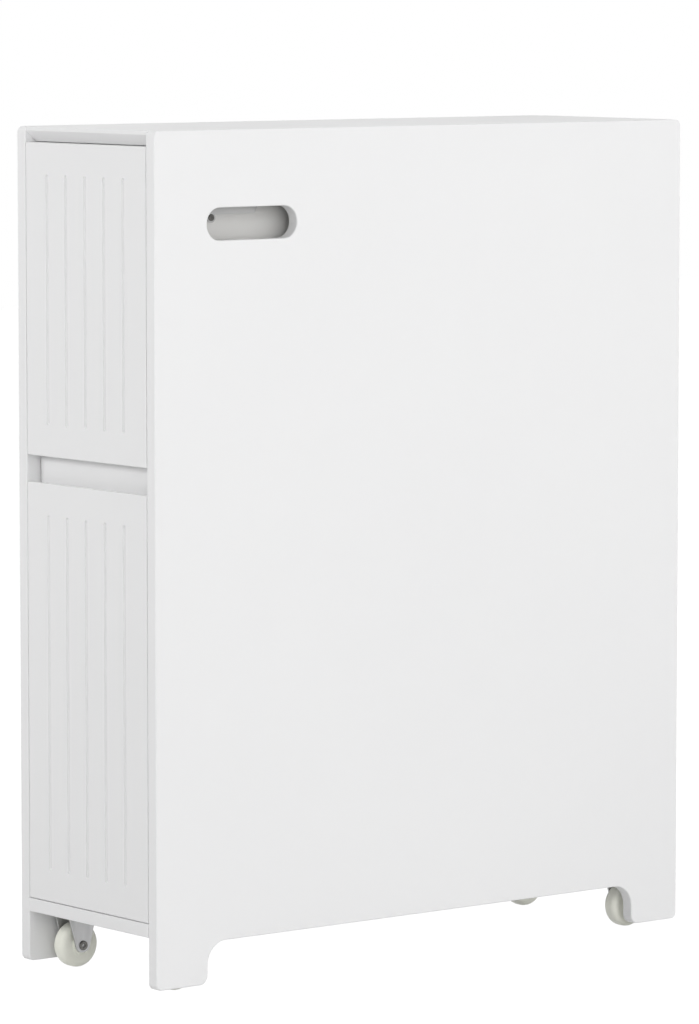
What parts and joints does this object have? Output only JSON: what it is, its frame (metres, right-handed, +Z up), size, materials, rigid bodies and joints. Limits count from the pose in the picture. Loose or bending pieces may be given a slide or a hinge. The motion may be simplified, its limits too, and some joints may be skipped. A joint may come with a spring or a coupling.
{
  "type": "slim rolling bathroom cabinet",
  "caption": "Slim deep bathroom cabinet on fixed castors, with grooved pull-out drawer fronts at its narrow end, finger gaps for handles and a hand slot in one side.",
  "frame": {"origin": "on the floor, at the middle of the footprint", "axes": "+Z up, -Y out of the drawer fronts, +X out of the side panel with the hand slot"},
  "size_m": [0.2, 0.595, 0.74],
  "materials": {
    "white_lacquer": "satin white lacquer on fibreboard",
    "white_hardboard": "smooth white film on thin hardboard",
    "beech": "raw fluted beech",
    "castor_steel": "zinc-plated pressed steel",
    "bright_steel": "zinc-plated steel",
    "strip_steel": "thin zinc-plated sheet",
    "zinc": "die-cast zinc",
    "dark_rivet": "dull rivet steel",
    "runner_enamel": "white epoxy enamel on steel",
    "cream_nylon": "moulded cream nylon",
    "roller_nylon": "moulded white nylon",
    "soft_bumper": "soft translucent bumper"
  },
  "bodies": {
    "cabinet": {"left_side_panel": "white_lacquer", "right_side_panel": "white_lacquer", "top_board": "white_lacquer", "bottom_board": "white_lacquer", "middle_rail": "white_lacquer", "back_panel": "white_hardboard", "carcass_cam_locks": "zinc", "carcass_cam_bolts": "bright_steel", "carcass_dowels": "beech", "front_bumpers": "soft_bumper", "castor_axles": "dark_rivet", "castor_screws": "bright_steel", "channel_pins": "bright_steel", "channel_screws": "bright_steel", "front_left_castor_fork": "castor_steel", "front_right_castor_fork": "castor_steel", "rear_left_castor_fork": "castor_steel", "rear_right_castor_fork": "castor_steel", "upper_left_runner_channel": "runner_enamel", "upper_right_runner_channel": "runner_enamel", "lower_left_runner_channel": "runner_enamel", "lower_right_runner_channel": "runner_enamel"},
    "front_left_wheel": {"front_left_castor_wheel": "cream_nylon"},
    "front_right_wheel": {"front_right_castor_wheel": "cream_nylon"},
    "rear_left_wheel": {"rear_left_castor_wheel": "cream_nylon"},
    "rear_right_wheel": {"rear_right_castor_wheel": "cream_nylon"},
    "upper_drawer": {"upper_drawer_front": "white_lacquer", "upper_drawer_left_side": "white_lacquer", "upper_drawer_right_side": "white_lacquer", "upper_drawer_back": "white_lacquer", "upper_drawer_bottom": "white_hardboard", "upper_drawer_cam_locks": "zinc", "upper_drawer_cam_bolts": "bright_steel", "upper_drawer_screws": "bright_steel", "upper_rail_pins": "bright_steel", "upper_rail_screws": "bright_steel", "upper_drawer_side_strip": "strip_steel", "upper_drawer_strip_screws": "dark_rivet", "upper_left_runner_rail": "runner_enamel", "upper_right_runner_rail": "runner_enamel"},
    "upper_left_front_roller": {"upper_left_front_roller": "roller_nylon"},
    "upper_left_rear_roller": {"upper_left_rear_roller": "roller_nylon"},
    "upper_right_front_roller": {"upper_right_front_roller": "roller_nylon"},
    "upper_right_rear_roller": {"upper_right_rear_roller": "roller_nylon"},
    "lower_drawer": {"lower_drawer_front": "white_lacquer", "lower_drawer_left_side": "white_lacquer", "lower_drawer_right_side": "white_lacquer", "lower_drawer_back": "white_lacquer", "lower_drawer_bottom": "white_hardboard", "lower_drawer_cam_locks": "zinc", "lower_drawer_cam_bolts": "bright_steel", "lower_drawer_screws": "bright_steel", "lower_rail_pins": "bright_steel", "lower_rail_screws": "bright_steel", "lower_left_runner_rail": "runner_enamel", "lower_right_runner_rail": "runner_enamel"},
    "lower_left_front_roller": {"lower_left_front_roller": "roller_nylon"},
    "lower_left_rear_roller": {"lower_left_rear_roller": "roller_nylon"},
    "lower_right_front_roller": {"lower_right_front_roller": "roller_nylon"},
    "lower_right_rear_roller": {"lower_right_rear_roller": "roller_nylon"}
  },
  "joints": [
    {"name": "front_left_wheel_spin", "type": "hinge", "parent": "cabinet", "child": "front_left_wheel", "pos_m": [-0.072, -0.259, 0.02], "axis": [1, 0, 0], "continuous": true},
    {"name": "front_right_wheel_spin", "type": "hinge", "parent": "cabinet", "child": "front_right_wheel", "pos_m": [0.072, -0.259, 0.02], "axis": [1, 0, 0], "continuous": true},
    {"name": "rear_left_wheel_spin", "type": "hinge", "parent": "cabinet", "child": "rear_left_wheel", "pos_m": [-0.072, 0.259, 0.02], "axis": [1, 0, 0], "continuous": true},
    {"name": "rear_right_wheel_spin", "type": "hinge", "parent": "cabinet", "child": "rear_right_wheel", "pos_m": [0.072, 0.259, 0.02], "axis": [1, 0, 0], "continuous": true},
    {"name": "upper_drawer_slide", "type": "slide", "parent": "cabinet", "child": "upper_drawer", "axis": [0, -1, 0], "range_m": [0, 0.38]},
    {"name": "upper_left_front_roller_spin", "type": "hinge", "parent": "cabinet", "child": "upper_left_front_roller", "pos_m": [-0.0825, -0.2675, 0.5097], "axis": [1, 0, 0], "range_deg": [0, 3360]},
    {"name": "upper_left_rear_roller_spin", "type": "hinge", "parent": "upper_drawer", "child": "upper_left_rear_roller", "pos_m": [-0.0825, 0.2085, 0.5093], "axis": [1, 0, 0], "range_deg": [0, 3360]},
    {"name": "upper_right_front_roller_spin", "type": "hinge", "parent": "cabinet", "child": "upper_right_front_roller", "pos_m": [0.0825, -0.2675, 0.5097], "axis": [1, 0, 0], "range_deg": [0, 3360]},
    {"name": "upper_right_rear_roller_spin", "type": "hinge", "parent": "upper_drawer", "child": "upper_right_rear_roller", "pos_m": [0.0825, 0.2085, 0.5093], "axis": [1, 0, 0], "range_deg": [0, 3360]},
    {"name": "lower_drawer_slide", "type": "slide", "parent": "cabinet", "child": "lower_drawer", "axis": [0, -1, 0], "range_m": [0, 0.38]},
    {"name": "lower_left_front_roller_spin", "type": "hinge", "parent": "cabinet", "child": "lower_left_front_roller", "pos_m": [-0.0825, -0.2675, 0.1094], "axis": [1, 0, 0], "range_deg": [0, 3360]},
    {"name": "lower_left_rear_roller_spin", "type": "hinge", "parent": "lower_drawer", "child": "lower_left_rear_roller", "pos_m": [-0.0825, 0.2085, 0.109], "axis": [1, 0, 0], "range_deg": [0, 3360]},
    {"name": "lower_right_front_roller_spin", "type": "hinge", "parent": "cabinet", "child": "lower_right_front_roller", "pos_m": [0.0825, -0.2675, 0.1094], "axis": [1, 0, 0], "range_deg": [0, 3360]},
    {"name": "lower_right_rear_roller_spin", "type": "hinge", "parent": "lower_drawer", "child": "lower_right_rear_roller", "pos_m": [0.0825, 0.2085, 0.109], "axis": [1, 0, 0], "range_deg": [0, 3360]}
  ],
  "couplings": [
    {"joint": "upper_left_front_roller_spin", "follows": "upper_drawer_slide", "rad_per_m": 153.85},
    {"joint": "upper_left_rear_roller_spin", "follows": "upper_drawer_slide", "rad_per_m": 153.85},
    {"joint": "upper_right_front_roller_spin", "follows": "upper_drawer_slide", "rad_per_m": 153.85},
    {"joint": "upper_right_rear_roller_spin", "follows": "upper_drawer_slide", "rad_per_m": 153.85},
    {"joint": "lower_left_front_roller_spin", "follows": "lower_drawer_slide", "rad_per_m": 153.85},
    {"joint": "lower_left_rear_roller_spin", "follows": "lower_drawer_slide", "rad_per_m": 153.85},
    {"joint": "lower_right_front_roller_spin", "follows": "lower_drawer_slide", "rad_per_m": 153.85},
    {"joint": "lower_right_rear_roller_spin", "follows": "lower_drawer_slide", "rad_per_m": 153.85}
  ]
}
